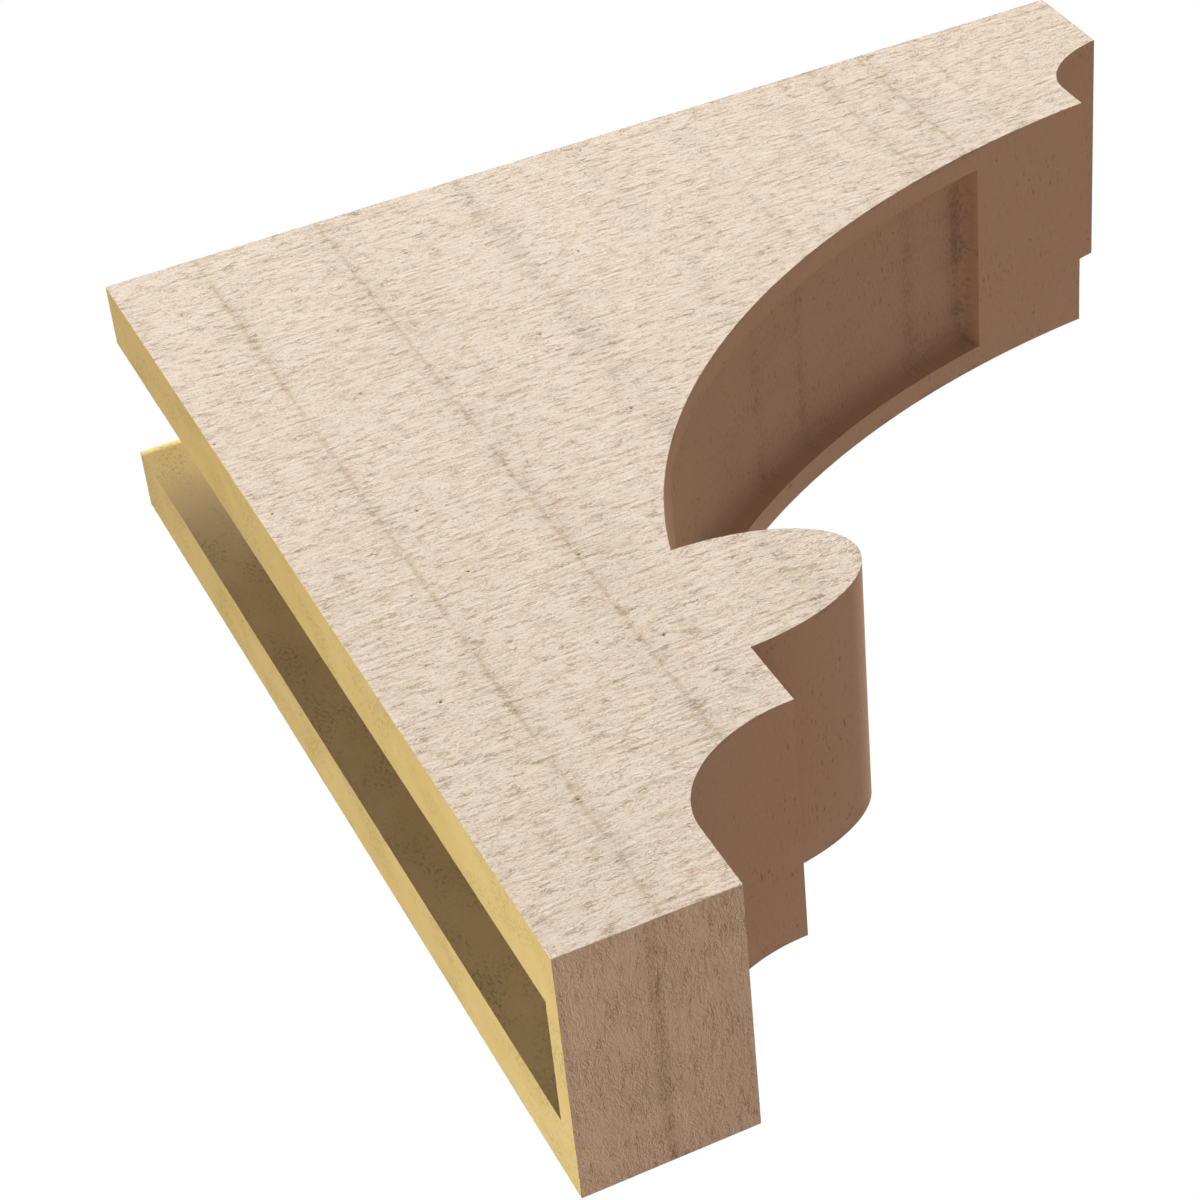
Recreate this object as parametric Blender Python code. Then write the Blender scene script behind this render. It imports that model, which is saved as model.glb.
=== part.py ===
"""A corbel moulded in one piece: a hollow bracket that carries a shelf or beam on a wall.

The corbel stands as it is fixed: its open back lies on the wall, the plane Y = 0, it reaches out
towards -Y, and its open top is level. X = 0 is its middle. The origin is on the wall plane, in the
middle of the bottom wall's edge.
"""

from math import acos, asin, cos, degrees, hypot, radians, sin

import bmesh
import bpy

# Driving dimensions, in metres. "Out" is the distance from the wall, "drop" is the distance below
# the top.
WIDTH = 0.1016
DEPTH = 0.4064
HEIGHT = 0.4064
SIDE_WALL = 0.0254
FRONT_WALL = 0.0254
BOTTOM_WALL = 0.0095

# The profile from the top down: a plain nose, a small cove, a short upright, the big arc, a
# bullnose, a second upright, the lower cove and the foot. Each curve is part of an ellipse.
COVE_CENTRE = (0.4160, 0.0666)
COVE_RADII = (0.0401, 0.0270)
ARC_CENTRE = (0.4143, 0.2989)
ARC_RADII = (0.3088, 0.2204)
BULL_CENTRE = (0.1079, 0.2830)
BULL_RADII = (0.0574, 0.0289)
STEP_OUT = 0.1118
FOOT_OUT = 0.0610
FOOT_COVE_DROP = 0.3788
FOOT_COVE_RISE = 0.0376

# A panel is sunk in the face of the big arc. It leaves a plain border at both sides and a longer
# plain stretch at both ends.
PANEL_DEPTH = 0.0095
PANEL_BORDER = 0.0097
PANEL_TOP_OUT = 0.3241
PANEL_LOW_OUT = 0.1341

# The hollow keeps clear of the nose, which stays solid.
HOLLOW_OUT = 0.3500

# Number of flat facets in each curve, and how far a cutter reaches past the face it opens.
COVE_FACETS = 14
ARC_FACETS = 64
BULL_FACETS = 40
FOOT_COVE_FACETS = 20
PANEL_FACETS = 48
OVERSHOOT = 0.0060
WELD = 0.00001

SKIN_COLOUR = (0.72, 0.55, 0.42, 1.0)
SKIN_ROUGHNESS = 0.75
FOAM_COLOUR = (0.62, 0.47, 0.17, 1.0)
FOAM_ROUGHNESS = 0.9


def clear_scene():
    for obj in list(bpy.data.objects):
        bpy.data.objects.remove(obj, do_unlink=True)


def make_collection(name):
    collection = bpy.data.collections.new(name)
    bpy.context.scene.collection.children.link(collection)
    return collection


def make_material(name, colour, roughness):
    material = bpy.data.materials.new(name)
    material.use_nodes = True
    shader = material.node_tree.nodes["Principled BSDF"]
    shader.inputs["Base Color"].default_value = colour
    shader.inputs["Roughness"].default_value = roughness
    shader.inputs["Metallic"].default_value = 0.0
    return material


def ellipse_point(centre, radii, angle, offset=0.0):
    """A point of an ellipse, angle in degrees, pushed outwards square to the curve by offset."""
    across, down = cos(radians(angle)), sin(radians(angle))
    length = hypot(across / radii[0], down / radii[1])
    return (
        centre[0] + radii[0] * across + offset * across / radii[0] / length,
        centre[1] + radii[1] * down + offset * down / radii[1] / length,
    )


def ellipse_arc(centre, radii, start, end, facets, offset=0.0):
    """Points along an ellipse from the angle start to the angle end, both included."""
    step = (end - start) / facets
    return [ellipse_point(centre, radii, start + i * step, offset) for i in range(facets + 1)]


def arc_angle(out):
    """The angle at which the big arc is this far out from the wall."""
    return 360.0 - degrees(acos((out - ARC_CENTRE[0]) / ARC_RADII[0]))


def outer_profile():
    """The outline of the whole corbel as (out, drop), from the top of the wall side round."""
    nose = 360.0 - degrees(acos((DEPTH - COVE_CENTRE[0]) / COVE_RADII[0]))
    cove = ellipse_arc(COVE_CENTRE, COVE_RADII, nose, 180.0, COVE_FACETS)
    upright_out = COVE_CENTRE[0] - COVE_RADII[0]
    arc = ellipse_arc(
        ARC_CENTRE, ARC_RADII, arc_angle(upright_out), arc_angle(STEP_OUT), ARC_FACETS
    )
    reach = degrees(acos((STEP_OUT - BULL_CENTRE[0]) / BULL_RADII[0]))
    bull = ellipse_arc(BULL_CENTRE, BULL_RADII, -reach, reach, BULL_FACETS)
    foot_cove = ellipse_arc(
        (STEP_OUT, FOOT_COVE_DROP),
        (STEP_OUT - FOOT_OUT, FOOT_COVE_RISE),
        270.0,
        180.0,
        FOOT_COVE_FACETS,
    )
    # The arc's last point gives way to the bullnose's first, which lies beside it.
    return (
        [(0.0, 0.0), (DEPTH, 0.0)]
        + cove
        + arc[:-1]
        + bull
        + foot_cove
        + [(FOOT_OUT, HEIGHT), (0.0, HEIGHT)]
    )


def hollow_profile():
    """The outline of the hollow, which follows the front at the wall's thickness."""
    radii = (ARC_RADII[0] + FRONT_WALL, ARC_RADII[1] + FRONT_WALL)
    back_out = STEP_OUT - FRONT_WALL
    top = 360.0 - degrees(acos((HOLLOW_OUT - ARC_CENTRE[0]) / radii[0]))
    low = 180.0 + degrees(asin((ARC_CENTRE[1] - BULL_CENTRE[1]) / radii[1]))
    arc = [
        (max(out, back_out), drop)
        for out, drop in ellipse_arc(ARC_CENTRE, radii, top, low, ARC_FACETS)
    ]
    cove_radii = (STEP_OUT - FOOT_OUT + FRONT_WALL, FOOT_COVE_RISE + FRONT_WALL)
    start = 360.0 - degrees(acos((back_out - STEP_OUT) / cove_radii[0]))
    foot_cove = ellipse_arc(
        (STEP_OUT, FOOT_COVE_DROP), cove_radii, start, 180.0, FOOT_COVE_FACETS
    )
    floor = HEIGHT - BOTTOM_WALL
    return (
        [(-OVERSHOOT, -OVERSHOOT), (HOLLOW_OUT, -OVERSHOOT)]
        + arc
        + foot_cove
        + [(FOOT_OUT - FRONT_WALL, floor), (-OVERSHOOT, floor)]
    )


def panel_profile():
    """The outline of what is sunk in the big arc, from its open side to its floor."""
    ends = (arc_angle(PANEL_TOP_OUT), arc_angle(PANEL_LOW_OUT))
    opening = ellipse_arc(ARC_CENTRE, ARC_RADII, *ends, PANEL_FACETS, -OVERSHOOT)
    floor = ellipse_arc(ARC_CENTRE, ARC_RADII, *ends, PANEL_FACETS, PANEL_DEPTH)
    return opening + floor[::-1]


def extruded(name, profile, width, material, collection):
    """A closed slab with this profile across the corbel's width, centred on X = 0."""
    curve = bpy.data.curves.new(name, "CURVE")
    curve.dimensions = "2D"
    curve.fill_mode = "BOTH"
    curve.extrude = width / 2
    spline = curve.splines.new("POLY")
    points = [profile[0]]
    for point in profile[1:]:
        if hypot(point[0] - points[-1][0], point[1] - points[-1][1]) > WELD:
            points.append(point)
    spline.points.add(len(points) - 1)
    top = HEIGHT - BOTTOM_WALL / 2
    for place, (out, drop) in zip(spline.points, points):
        place.co = (out, top - drop, 0.0, 1.0)
    spline.use_cyclic_u = True
    drawn = bpy.data.objects.new(name + "_outline", curve)
    # The outline's X axis points away from the wall and its Y axis points up.
    drawn.rotation_euler = (radians(90.0), 0.0, radians(-90.0))
    collection.objects.link(drawn)
    bpy.context.view_layer.update()
    graph = bpy.context.evaluated_depsgraph_get()
    mesh = bpy.data.meshes.new_from_object(drawn.evaluated_get(graph))
    mesh.name = name
    work = bmesh.new()
    work.from_mesh(mesh)
    bmesh.ops.remove_doubles(work, verts=work.verts, dist=WELD)
    bmesh.ops.recalc_face_normals(work, faces=work.faces)
    work.to_mesh(mesh)
    work.free()
    mesh.materials.clear()
    mesh.materials.append(material)
    slab = bpy.data.objects.new(name, mesh)
    slab.matrix_world = drawn.matrix_world
    collection.objects.link(slab)
    bpy.data.objects.remove(drawn, do_unlink=True)
    bpy.data.curves.remove(curve)
    return slab


def bare_back_and_top(slab, foam):
    """The flat back and top are cut edges of the moulding, so they show its bare foam."""
    mesh = slab.data
    mesh.materials.append(foam)
    upright = slab.matrix_world.to_3x3()
    for face in mesh.polygons:
        normal = upright @ face.normal
        if normal.y > 0.9 or normal.z > 0.9:
            face.material_index = 1


def cut(body, cutter, name):
    cutter.hide_render = True
    cutter.display_type = "WIRE"
    boolean = body.modifiers.new(name, "BOOLEAN")
    boolean.operation = "DIFFERENCE"
    boolean.solver = "EXACT"
    boolean.material_mode = "TRANSFER"
    boolean.object = cutter


def main():
    clear_scene()
    parts = make_collection("corbel")
    cutters = make_collection("cutters")
    skin = make_material("moulded_skin", SKIN_COLOUR, SKIN_ROUGHNESS)
    foam = make_material("bare_foam", FOAM_COLOUR, FOAM_ROUGHNESS)

    body = extruded("corbel_body", outer_profile(), WIDTH, skin, parts)
    bare_back_and_top(body, foam)
    hollow = extruded("hollow", hollow_profile(), WIDTH - 2 * SIDE_WALL, foam, cutters)
    panel = extruded("panel", panel_profile(), WIDTH - 2 * PANEL_BORDER, skin, cutters)
    cut(body, hollow, "hollow")
    cut(body, panel, "panel")
    body.data.shade_smooth()
    body.data.set_sharp_from_angle(angle=radians(30.0))


main()
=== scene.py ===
# %% [markdown]
# # A hollow corbel with a rough-sawn skin
#
# The corbel is one moulding in rigid foam, made to pass for timber. Its outside took the coat that
# was sprayed in the mould, so it has the colour and the saw marks of a rough board. Its back, top
# and inside show the bare yellow foam. This lesson dresses the plain solid of the corbel: it
# builds one closed mesh fine enough to hold the saw marks, carves them with Geometry Nodes, and
# paints it with five materials that share their effects.

# %% Load the frame
from math import acos, asin, cos, degrees, pi, radians, sin

import bmesh
import bpy
import numpy as np
from mathutils import Matrix, Vector
from mathutils.geometry import delaunay_2d_cdt


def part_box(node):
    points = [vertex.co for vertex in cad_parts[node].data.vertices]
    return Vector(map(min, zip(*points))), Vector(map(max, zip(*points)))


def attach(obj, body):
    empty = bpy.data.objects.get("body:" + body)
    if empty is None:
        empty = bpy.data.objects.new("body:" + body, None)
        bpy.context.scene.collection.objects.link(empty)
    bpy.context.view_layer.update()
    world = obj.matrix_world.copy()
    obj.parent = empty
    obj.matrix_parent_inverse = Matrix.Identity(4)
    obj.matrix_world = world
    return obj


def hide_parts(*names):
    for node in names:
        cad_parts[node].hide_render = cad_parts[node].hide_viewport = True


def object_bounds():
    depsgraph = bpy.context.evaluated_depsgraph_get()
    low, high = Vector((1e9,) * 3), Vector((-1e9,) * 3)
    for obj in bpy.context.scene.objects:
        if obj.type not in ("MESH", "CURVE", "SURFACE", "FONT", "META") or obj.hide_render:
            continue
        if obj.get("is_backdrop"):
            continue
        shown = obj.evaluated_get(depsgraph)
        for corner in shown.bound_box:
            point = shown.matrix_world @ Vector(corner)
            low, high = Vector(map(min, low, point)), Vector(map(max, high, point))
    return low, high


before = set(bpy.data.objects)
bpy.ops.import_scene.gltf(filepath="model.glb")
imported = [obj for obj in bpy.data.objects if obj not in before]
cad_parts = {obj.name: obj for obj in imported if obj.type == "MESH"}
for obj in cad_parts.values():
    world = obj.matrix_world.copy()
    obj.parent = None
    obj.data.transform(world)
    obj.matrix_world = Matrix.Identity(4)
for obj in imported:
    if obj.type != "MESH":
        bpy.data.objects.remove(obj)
cad_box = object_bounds()

MM = 0.001
lowest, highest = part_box("corbel_body")
WIDTH = highest.x - lowest.x
DEPTH = -lowest.y
HEIGHT = highest.z - lowest.z
TOP = highest.z
print("the solid is", [round(size / MM, 1) for size in (WIDTH, DEPTH, HEIGHT)], "mm")

# %% [markdown]
# ## The outline
#
# A corbel of this kind is drawn as a side view first, and every face that is seen follows from it.
# So the outline is kept as in a drawing: "out" is the distance from the wall and "drop" the
# distance below the top. Each curve is part of an ellipse, given by its centre and its two radii,
# because that is how the curves of the real one fit. The values are those of the solid, and only
# the number of steps along a curve changes here.

# %% Driving dimensions of the outline
SIDE_WALL = 25.4 * MM
FRONT_WALL = 25.4 * MM
BOTTOM_WALL = 9.5 * MM
COVE_CENTRE = (416.0 * MM, 66.6 * MM)
COVE_RADII = (40.1 * MM, 27.0 * MM)
ARC_CENTRE = (414.3 * MM, 298.9 * MM)
ARC_RADII = (308.8 * MM, 220.4 * MM)
BULL_CENTRE = (107.9 * MM, 283.0 * MM)
BULL_RADII = (57.4 * MM, 28.9 * MM)
STEP_OUT = 111.8 * MM
FOOT_OUT = 61.0 * MM
FOOT_COVE_CENTRE = (STEP_OUT, 378.8 * MM)
FOOT_COVE_RADII = (STEP_OUT - FOOT_OUT, 37.6 * MM)
PANEL_DEPTH = 9.5 * MM
PANEL_BORDER = 9.7 * MM
PANEL_TOP_OUT = 324.1 * MM
PANEL_LOW_OUT = 134.1 * MM
HOLLOW_OUT = 350.0 * MM
FLOOR_DROP = HEIGHT - BOTTOM_WALL


# %% Curves and straight runs with a point every so often
CURVE_SAMPLES = 600


def evenly(points, spacing):
    """The same line with its points spread evenly, about this far apart, and both ends kept."""
    points = np.array(points)
    steps = np.hypot(*np.diff(points, axis=0).T)
    walked = np.concatenate([[0.0], np.cumsum(steps)])
    count = max(1, round(walked[-1] / spacing))
    places = np.linspace(0.0, walked[-1], count + 1)
    return np.stack([np.interp(places, walked, points[:, axis]) for axis in range(2)], 1)


def curve(centre, radii, start, end, offset=0.0):
    """Points close together along an ellipse, from one angle to another, pushed out by offset."""
    angles = np.radians(np.linspace(start, end, CURVE_SAMPLES + 1))
    across = np.cos(angles)
    down = np.sin(angles)
    length = np.hypot(across / radii[0], down / radii[1])
    out = centre[0] + radii[0] * across + offset * across / radii[0] / length
    drop = centre[1] + radii[1] * down + offset * down / radii[1] / length
    return np.stack([out, drop], 1)


def angle_at(out, centre, radii):
    """The angle, on the upper half of an ellipse, at which it is this far out from the wall."""
    return 360.0 - degrees(acos((out - centre[0]) / radii[0]))


nose_angle = angle_at(DEPTH, COVE_CENTRE, COVE_RADII)
upright_out = COVE_CENTRE[0] - COVE_RADII[0]
bull_reach = degrees(acos((STEP_OUT - BULL_CENTRE[0]) / BULL_RADII[0]))
print("the small cove starts at", round(nose_angle, 1), "degrees")

# %% [markdown]
# ## One mesh, dense where the saw marks are
#
# The saw marks lie side by side about two and a half millimetres apart and run out from the wall
# on the side faces. A mesh that is equally fine both ways would waste half of its faces, so the
# points stand close together across the marks and further apart along them. The flat sides are
# filled by a Delaunay triangulation, which takes any outline and any scatter of points. The front
# is a plain grid, because it is one strip that follows the outline.

# %% How far apart the points are
ALONG_MARKS = 2.35 * MM
ACROSS_MARKS = 0.98 * MM
FRONT_STEP = 2.4 * MM
FOOT_STEP = 1.2 * MM
HOLLOW_STEP = 6.0 * MM
RIM_STEP = 6.0 * MM
CLEAR_OF_EDGE = 0.55
WELD = 0.01 * MM

# %% The panel's cross-section
PANEL_DRAFT = 0.6 * MM
PANEL_FILLET = 3.6 * MM
FILLET_STEPS = 4


def sunk(distance):
    """How deep the panel is at this distance in from its edge: a steep wall, a fillet, a floor."""
    wall = (PANEL_DEPTH - PANEL_FILLET) * np.clip(distance / PANEL_DRAFT, 0.0, 1.0)
    left = np.clip(1.0 - (distance - PANEL_DRAFT) / PANEL_FILLET, 0.0, 1.0)
    return wall + PANEL_FILLET * np.sqrt(1.0 - left**2)


def panel_stretch(length):
    """Distances from one edge of the panel to the other, with steps for its walls and fillets."""
    turns = np.linspace(0.0, pi / 2, FILLET_STEPS + 1)
    edge = np.concatenate([[0.0], PANEL_DRAFT + PANEL_FILLET * (1.0 - np.cos(turns))])
    middle = length - 2 * edge[-1]
    inner = np.linspace(edge[-1], length - edge[-1], round(middle / FRONT_STEP) + 1)
    return np.concatenate([edge[:-1], inner, (length - edge[:-1])[::-1]])


# %% Rows and columns of the front strip
def front_columns():
    """Places across the width: the two borders of the panel, its walls and its floor."""
    border = np.linspace(0.0, PANEL_BORDER, round(PANEL_BORDER / FRONT_STEP) + 1)
    panel = PANEL_BORDER + panel_stretch(WIDTH - 2 * PANEL_BORDER)
    return np.concatenate([border[:-1], panel, (WIDTH - border[:-1])[::-1]]) - WIDTH / 2


def front_runs():
    """The stretches of the front from the nose to the foot, each with the spacing of its rows."""
    panel_ends = [angle_at(out, ARC_CENTRE, ARC_RADII) for out in (PANEL_TOP_OUT, PANEL_LOW_OUT)]
    cove = curve(COVE_CENTRE, COVE_RADII, nose_angle, 180.0)
    upper_arc = curve(ARC_CENTRE, ARC_RADII, angle_at(upright_out, ARC_CENTRE, ARC_RADII), panel_ends[0])
    panel_arc = curve(ARC_CENTRE, ARC_RADII, *panel_ends)
    lower_arc = curve(ARC_CENTRE, ARC_RADII, panel_ends[1], angle_at(STEP_OUT, ARC_CENTRE, ARC_RADII))
    bull = curve(BULL_CENTRE, BULL_RADII, -bull_reach, bull_reach)
    # The arc ends where the bullnose begins, which is a hair beside it.
    lower_arc[-1] = bull[0]
    foot_cove = curve(FOOT_COVE_CENTRE, FOOT_COVE_RADII, 270.0, 180.0)
    foot_corner = (FOOT_OUT, HEIGHT)
    return {
        "nose": ([(DEPTH, 0.0), cove[0]], FRONT_STEP),
        "small cove": (cove, FRONT_STEP),
        "upper upright": ([cove[-1], upper_arc[0]], FRONT_STEP),
        "arc above the panel": (upper_arc, FRONT_STEP),
        "panel": (panel_arc, None),
        "arc below the panel": (lower_arc, FRONT_STEP),
        "bullnose": (bull, FRONT_STEP),
        "lower upright": ([bull[-1], foot_cove[0]], FRONT_STEP),
        "lower cove": (foot_cove, FRONT_STEP),
        "foot": ([foot_cove[-1], foot_corner], FRONT_STEP),
        "underside": ([foot_corner, (0.0, HEIGHT)], FOOT_STEP),
    }


rows = []
panel_inside = []
run_start = {}
for name, (line, spacing) in front_runs().items():
    line = np.array(line)
    walked = np.concatenate([[0.0], np.cumsum(np.hypot(*np.diff(line, axis=0).T))])
    if spacing is None:
        places = panel_stretch(walked[-1])
        panel_inside.append(np.minimum(places, walked[-1] - places)[:-1])
    else:
        places = np.linspace(0.0, walked[-1], max(1, round(walked[-1] / spacing)) + 1)
        panel_inside.append(np.full(len(places) - 1, -1.0))
    run_start[name] = sum(len(part) for part in rows)
    rows.append(np.stack([np.interp(places, walked, line[:, axis]) for axis in range(2)], 1)[:-1])
rows = np.concatenate(rows + [[(0.0, HEIGHT)]])
panel_inside = np.concatenate(panel_inside + [[-1.0]])
columns = front_columns()
print("the front strip has", len(rows), "rows of", len(columns), "points")

# %% [markdown]
# ## Patches that meet point for point
#
# The corbel is put together from patches: two flat sides, the front strip, the bare rims at the top
# and the back, and the walls of the hollow. Neighbours share the same points along their common
# edge, so that merging them leaves one closed skin with no cracks. Each patch also carries what the
# later steps need: where a point lies in the grain, how much relief it may take, how crumbly the
# saw left it there, and which of the five finishes it shows. The grain is one endless board, and
# each patch is cut from a place of its own in it, so that no two of them show the same marks.
# Remeshing the solid would be quicker to write, but it would round the sharp edges of the corbel.

# %% What a patch holds
SIDE, UNDERSIDE, FRONT, RIM, INSIDE = range(5)
GRAIN_STARTS = {
    "near side": 0.0,
    "other side": 1.0,
    "front": 2.0,
    "sides of the hollow": 4.0,
    "front of the hollow": 5.0,
    "top rim": 6.0,
    "back rim": 7.0,
}
patches = []


def add_patch(points, faces, grain, finish, amount=0.0, crumble=0.0, pit=0.0):
    count = len(points)
    patches.append({
        "points": points,
        "faces": faces,
        "grain": grain,
        "finish": np.full(len(faces), finish),
        "amount": np.broadcast_to(amount, count),
        "crumble": np.broadcast_to(crumble, count),
        "pit": np.broadcast_to(pit, count),
    })


def grid_faces(down, across):
    """Four-cornered faces of a grid whose points are numbered row by row."""
    corner = np.arange(down * across).reshape(down, across)
    ring = (corner[:-1, :-1], corner[1:, :-1], corner[1:, 1:], corner[:-1, 1:])
    return np.stack([part.ravel() for part in ring], 1)


def in_space(x, flat):
    """Points of the drawing, (out, drop), at this distance across the width."""
    return np.stack([np.broadcast_to(x, len(flat)), -flat[:, 0], TOP - flat[:, 1]], 1)


POINTS_AT_ONCE = 1500


def from_edge(points, outline):
    """The distance of each point from a closed outline, and whether it lies inside."""
    start = np.asarray(outline)
    run = np.roll(start, -1, axis=0) - start
    square = (run**2).sum(1)
    near = np.empty(len(points))
    inside = np.empty(len(points), bool)
    for part in np.array_split(np.arange(len(points)), len(points) // POINTS_AT_ONCE + 1):
        gap = points[part, None] - start
        share = np.clip((gap * run).sum(2) / square, 0.0, 1.0)
        near[part] = np.sqrt(((gap - share[..., None] * run) ** 2).sum(2).min(1))
        crosses = (gap[..., 1] < 0.0) != (gap[..., 1] < run[:, 1])
        turn = gap[..., 0] * run[:, 1] - gap[..., 1] * run[:, 0]
        inside[part] = (crosses & ((turn < 0.0) == (run[:, 1] > 0.0))).sum(1) % 2 == 1
    return near, inside


INSIDE_ONLY = 1
SAME_POINT = 1e-7


def triangles(outline, inner, stretch=(1.0, 1.0)):
    """Triangles that fill an outline and use the inner points too."""
    flat = np.concatenate([outline, inner]) / stretch
    ring = [(i, (i + 1) % len(outline)) for i in range(len(outline))]
    found = delaunay_2d_cdt([Vector(point) for point in flat.tolist()], ring, [], INSIDE_ONLY, SAME_POINT)
    origin = np.array([came_from[0] for came_from in found[3]])
    return origin[np.array(found[2])]


# %% [markdown]
# ## The two sides
#
# In the photo the sides show fine marks that run out from the wall, crossed by crumbly bands, 15 to
# 50 mm apart, that run down the face, and a scatter of round pinholes where bubbles lay against the
# mould. The bands and the larger pinholes are placed as they lie on the real corbel. The other side
# is not seen, so its pinholes are scattered by a seed. Each pinhole is a ring of points let into the
# mesh, as a dot of dark paint would lose its depth in a close or a slanting view.

# %% Bands and pinholes of the sides
BANDS = [
    # Distance out from the wall, half width, strength
    (35.0 * MM, 4.5 * MM, 0.70),
    (84.0 * MM, 5.5 * MM, 0.85),
    (99.0 * MM, 4.0 * MM, 0.45),
    (142.0 * MM, 4.5 * MM, 1.00),
    (193.0 * MM, 4.0 * MM, 0.55),
    (234.0 * MM, 3.5 * MM, 0.60),
    (272.0 * MM, 3.0 * MM, 0.75),
    (297.0 * MM, 5.5 * MM, 0.75),
    (319.0 * MM, 8.0 * MM, 0.85),
    (343.0 * MM, 2.5 * MM, 0.60),
]
PINHOLES = np.array([
    (193.0, 6.0), (162.0, 72.0), (64.5, 74.0), (35.0, 348.5), (91.0, 292.0), (223.5, 108.0),
    (127.0, 115.0), (57.0, 115.5), (48.0, 190.0), (135.5, 174.0), (16.5, 286.0), (71.0, 284.5),
    (50.0, 229.5), (1.5, 117.5), (85.0, 240.0), (5.0, 166.0),
]) * MM
PINHOLE_RADIUS = 0.75 * MM
PINHOLE_DEPTH = 1.1 * MM
PINHOLE_RINGS = (
    # Share of the radius, points in the ring, share of the depth
    (0.0, 1, 1.0),
    (0.55, 6, 0.75),
    (1.0, 8, 0.0),
)
CLEAR_OF_PINHOLE = 1.7 * PINHOLE_RADIUS
PINHOLE_FROM_EDGE = 1.2 * MM
OTHER_SIDE_PINHOLES = 18
OTHER_SIDE_SEED = 7
EDGE_FADE = 3.0 * MM
EDGE_SHARE = 0.15

top_edge = evenly([(0.0, 0.0), (DEPTH, 0.0)], ALONG_MARKS)
back_edge = evenly([(0.0, HEIGHT), (0.0, 0.0)], ACROSS_MARKS)
side_outline = np.concatenate([top_edge[:-1], rows[:-1], back_edge[:-1]])


def fade(distance):
    """The share of the relief that a point takes, which falls off near an edge."""
    return EDGE_SHARE + (1.0 - EDGE_SHARE) * np.clip(distance / EDGE_FADE, 0.0, 1.0)


def pinhole_points(places):
    """Rings of points round each pinhole, and how deep each point is sunk."""
    points = []
    depths = []
    for radius, count, depth in PINHOLE_RINGS:
        for turn in np.linspace(0.0, 2 * pi, count, endpoint=False):
            shift = np.array([cos(turn), sin(turn)]) * radius * PINHOLE_RADIUS
            points.append(places + shift)
            depths.append(np.full(len(places), depth * PINHOLE_DEPTH))
    return np.concatenate(points), np.concatenate(depths)


def side_scatter(pinholes):
    """Inner points of a side: staggered rows, with the rings of the pinholes let in."""
    levels = np.arange(ACROSS_MARKS, HEIGHT, ACROSS_MARKS)
    steps = np.arange(0.0, DEPTH, ALONG_MARKS)
    out, drop = np.meshgrid(steps, levels)
    out = out + ALONG_MARKS / 2 * (np.arange(len(levels)) % 2)[:, None]
    points = np.stack([out.ravel(), drop.ravel()], 1)
    stretch = np.array([ALONG_MARKS, ACROSS_MARKS])
    near, inside = from_edge(points / stretch, side_outline / stretch)
    points = points[inside & (near > CLEAR_OF_EDGE)]
    for hole in pinholes:
        points = points[np.hypot(*(points - hole).T) > CLEAR_OF_PINHOLE]
    rings, depths = pinhole_points(pinholes)
    return np.concatenate([points, rings]), np.concatenate([np.zeros(len(points)), depths])


def banded(out, bands):
    """How crumbly the bands leave the face at this distance from the wall."""
    return sum(strength * np.exp(-(((out - place) / width) ** 2)) for place, width, strength in bands)


def add_side(x, pinholes, grain_start):
    """One flat side with its bands and its pinholes, at this place across the width."""
    inner, depths = side_scatter(pinholes)
    flat = np.concatenate([side_outline, inner])
    near = np.concatenate([np.zeros(len(side_outline)), from_edge(inner, side_outline)[0]])
    pit = np.concatenate([np.zeros(len(side_outline)), depths])
    faces = triangles(side_outline, inner, (ALONG_MARKS, ACROSS_MARKS))
    grain = flat + (0.0, grain_start)
    add_patch(in_space(x, flat), faces, grain, SIDE, fade(near), banded(flat[:, 0], BANDS), pit)
    print("side at x =", round(x / MM, 1), "mm:", len(faces), "triangles")


near, inside = from_edge(PINHOLES, side_outline)
placed = PINHOLES[inside & (near > PINHOLE_FROM_EDGE)]
# Four times as many are scattered as are wanted, as some of them miss the side.
random = np.random.default_rng(OTHER_SIDE_SEED)
scattered = random.uniform((0.0, 0.0), (DEPTH, HEIGHT), (4 * OTHER_SIDE_PINHOLES, 2))
near, inside = from_edge(scattered, side_outline)
scattered = scattered[inside & (near > EDGE_FADE)][:OTHER_SIDE_PINHOLES]
add_side(-WIDTH / 2, placed, GRAIN_STARTS["near side"])
add_side(WIDTH / 2, scattered, GRAIN_STARTS["other side"])

# %% [markdown]
# ## The front and the foot
#
# The front strip runs from the nose down over the cove, the arc, the bullnose and the lower cove to
# the foot. Its grain runs across the width. The mould was smoother there, and only the underside of
# the foot is about as rough as the sides. The panel is sunk square to the arc, with steep walls and
# a rounded foot, as a mould that has to let go of it needs. Its floor is worn in bands, most of all
# at its upper end, and the same values paint it darker, partly for the wear and partly as painted
# shade in the recess. The bands fade up its walls, where they would be drawn out into long hairs.

# %% The front strip and the underside
UNDERSIDE_BANDS = [
    (31.0 * MM, 2.2 * MM, 1.0),
    (55.0 * MM, 3.0 * MM, 0.2),
]
PANEL_BANDS = [
    # Distance out from the wall, half width, strength
    (212.0 * MM, 2.0 * MM, 0.45),
    (237.0 * MM, 2.5 * MM, 0.55),
    (295.5 * MM, 3.5 * MM, 0.50),
    (323.0 * MM, 5.0 * MM, 1.00),
]
PANEL_CRUMBLE = 0.25
WALL_FADE = 3
FRONT_SHARE = 0.35
UNDERSIDE_SHARE = 0.6

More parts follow.
